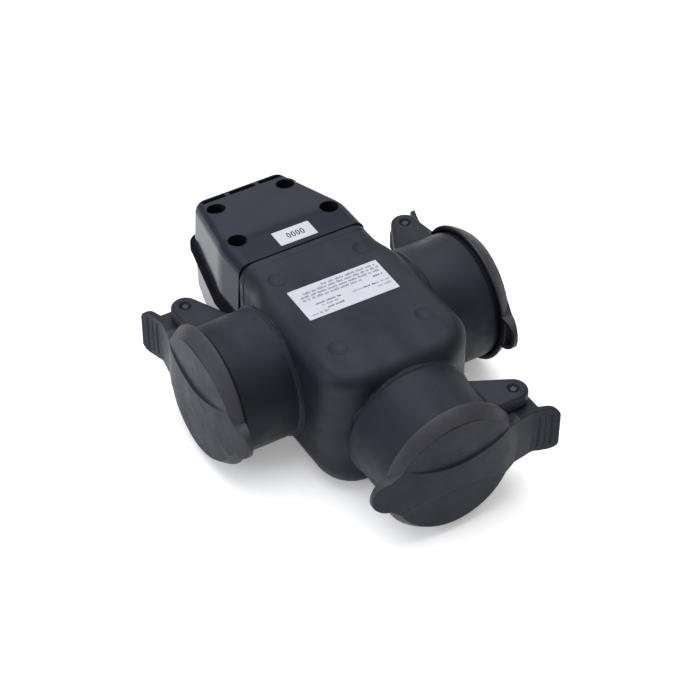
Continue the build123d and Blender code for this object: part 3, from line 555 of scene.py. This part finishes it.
# each row: first x, last x, base line y, height and width of a stroke, in mm on the label
faint_rows = (
    (-6.0, 19.0, 6.9, 1.3, 0.26),
    (-15.5, 19.5, 5.0, 1.3, 0.26),
    (-17.5, 19.5, 3.1, 1.3, 0.26),
    (-17.5, 9.5, 1.2, 1.3, 0.26),
    (3.0, 19.5, -3.2, 0.9, 0.22),
    (-12.0, -5.0, -4.3, 0.9, 0.22),
    (13.5, 19.5, -5.4, 0.9, 0.22),
    (-19.0, -11.0, -7.9, 1.0, 0.2),
)
bold_rows = (
    (14.5, 18.5, 0.7, 1.2, 0.42),
    (-14.0, -2.5, -2.6, 1.1, 0.36),
    (-10.5, -3.0, -6.4, 1.1, 0.36),
    (7.5, 13.0, -3.2, 0.9, 0.3),
)
RATING_CENTRE = (-0.6, -3.3)
NUMBER_CENTRE = (0.9, 37.6)
FAINT_SEED = 3
BOLD_SEED = 4
print_piece("rating_print", RATING_CENTRE, INK, strokes(faint_rows, FAINT_SEED))
print_piece("rating_print_bold", RATING_CENTRE, DARK_INK, strokes(bold_rows, BOLD_SEED))

ROUND_STEPS = 28
FIGURE_STROKE = 0.5
FIGURE_HALF_WIDTH = 0.86
FIGURE_HALF_HEIGHT = 1.75
FIGURE_PLACES = (-3.15, -1.05, 1.05, 3.15)
figures = []
for place in FIGURE_PLACES:
    outer, inner = [], []
    for k in range(ROUND_STEPS):
        angle = math.tau * k / ROUND_STEPS
        outer.append((
            place + FIGURE_HALF_WIDTH * math.cos(angle),
            FIGURE_HALF_HEIGHT * math.sin(angle),
        ))
        inner.append((
            place + (FIGURE_HALF_WIDTH - FIGURE_STROKE) * math.cos(angle),
            (FIGURE_HALF_HEIGHT - FIGURE_STROKE) * math.sin(angle),
        ))
    figures.append((outer, inner))
print_piece("number_print", NUMBER_CENTRE, DARK_INK, figures)

# ---- floor and light ------------------------------------------------------------------------
FLOOR_SIZE = 8.0
FLOOR_DROP = 0.0002
FLOOR_GLOW = 0.25
bpy.ops.mesh.primitive_plane_add(size=FLOOR_SIZE, location=(0, 0, -FLOOR_DROP))
floor = bpy.context.object
floor.name = "floor"
n = Nodes("floor_paper")
shade = n.ramp(n.noise(3.0), "Fac", [(0.3, (0.94, 0.94, 0.94)), (0.7, (0.96, 0.96, 0.96))])
n.join(shade, "Color", n.shader, "Base Color")
n.shader.inputs["Roughness"].default_value = 0.9
n.shader.inputs["Emission Color"].default_value = (1.0, 1.0, 1.0, 1.0)
n.shader.inputs["Emission Strength"].default_value = FLOOR_GLOW
floor.data.materials.append(n.material)

world = bpy.data.worlds.new("world")
bpy.context.scene.world = world
world.use_nodes = True
sky = world.node_tree
towards = sky.nodes.new("ShaderNodeTexCoord")
height = sky.nodes.new("ShaderNodeSeparateXYZ")
dome = sky.nodes.new("ShaderNodeValToRGB")
# height in the sky and its brightness there: the horizon, overhead, then between the two
HORIZON = (0.0, 0.2)
OVERHEAD = (0.75, 0.8)
BETWEEN = (0.35, 0.34)
stops = dome.color_ramp.elements
for element, (position, level) in zip(
    [stops[0], stops[1], stops.new(BETWEEN[0])],
    (HORIZON, OVERHEAD, BETWEEN),
):
    element.position = position
    element.color = (level, level, level, 1.0)
sky.links.new(towards.outputs["Generated"], height.inputs["Vector"])
sky.links.new(height.outputs["Z"], dome.inputs["Fac"])
sky.links.new(dome.outputs["Color"], sky.nodes["Background"].inputs["Color"])


LIGHT_TARGET = Vector((0, 0, 0.03))


def softbox(name, place, size, power, tint):
    light = bpy.data.lights.new(name, "AREA")
    light.color = tint
    light.shape = "RECTANGLE"
    light.size, light.size_y = size
    light.energy = power
    lamp = bpy.data.objects.new(name, light)
    bpy.context.scene.collection.objects.link(lamp)
    lamp.location = place
    lamp.rotation_mode = "QUATERNION"
    lamp.rotation_quaternion = (LIGHT_TARGET - Vector(place)).to_track_quat("-Z", "Y")


softbox("left_box", place=(-1.2, 0.2, 0.6), size=(1.0, 0.8), power=7.0, tint=(0.9, 0.93, 1.08))
softbox("top_box", place=(0.1, 0.4, 1.5), size=(2.0, 2.0), power=25.0, tint=(1.0, 1.0, 1.0))
softbox("back_box", place=(0.6, 1.3, 0.62), size=(1.5, 0.5), power=2.2, tint=(0.93, 0.96, 1.06))

bpy.context.scene.view_settings.view_transform = "Standard"
